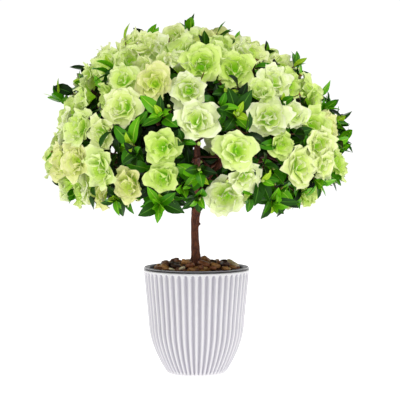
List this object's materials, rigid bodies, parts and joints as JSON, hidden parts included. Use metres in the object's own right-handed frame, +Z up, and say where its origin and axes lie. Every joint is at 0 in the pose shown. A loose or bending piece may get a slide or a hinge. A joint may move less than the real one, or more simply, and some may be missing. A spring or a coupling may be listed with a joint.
{
  "type": "potted azalea standard",
  "caption": "Double-flowered azalea on one bare stem, with a domed crown of blossom and leaves, in a fluted cover pot with an inner liner, soil and bark nuggets.",
  "frame": {"origin": "centre of the pot's flat underside, on the floor that it stands on", "axes": "+Z up along the stem, -Y towards the viewer of the picture, +X to the viewer's right"},
  "size_m": [0.4627, 0.4804, 0.536],
  "materials": {
    "pot_glaze": "satin white glaze over moulded flutes",
    "liner_plastic": "moulded, dark grey, slightly glossy",
    "soil": "moist peat",
    "bark_nuggets": "rough, broken pine bark",
    "bark": "rough, finely flaking reddish-brown bark",
    "blossom_and_leaves": "soft matt petals over glossy leaves"
  },
  "bodies": {
    "root": {"bark_mulch": "bark_nuggets", "bough_shoulder_1": "bark", "bough_shoulder_2": "bark", "bough_shoulder_3": "bark", "bough_shoulder_4": "bark", "bough_shoulder_5": "bark", "bough_shoulder_6": "bark", "bough_skirt_1": "bark", "bough_skirt_2": "bark", "bough_skirt_3": "bark", "bough_skirt_4": "bark", "bough_skirt_5": "bark", "bough_skirt_6": "bark", "bough_skirt_7": "bark", "bough_skirt_8": "bark", "bough_skirt_9": "bark", "bough_top": "bark", "mass_shoulder_1": "blossom_and_leaves", "mass_shoulder_2": "blossom_and_leaves", "mass_shoulder_3": "blossom_and_leaves", "mass_shoulder_4": "blossom_and_leaves", "mass_shoulder_5": "blossom_and_leaves", "mass_shoulder_6": "blossom_and_leaves", "mass_skirt_1": "blossom_and_leaves", "mass_skirt_2": "blossom_and_leaves", "mass_skirt_3": "blossom_and_leaves", "mass_skirt_4": "blossom_and_leaves", "mass_skirt_5": "blossom_and_leaves", "mass_skirt_6": "blossom_and_leaves", "mass_skirt_7": "blossom_and_leaves", "mass_skirt_8": "blossom_and_leaves", "mass_skirt_9": "blossom_and_leaves", "mass_top": "blossom_and_leaves", "pot_cover": "pot_glaze", "pot_liner": "liner_plastic", "root_ball": "soil", "trunk": "bark"}
  },
  "joints": []
}
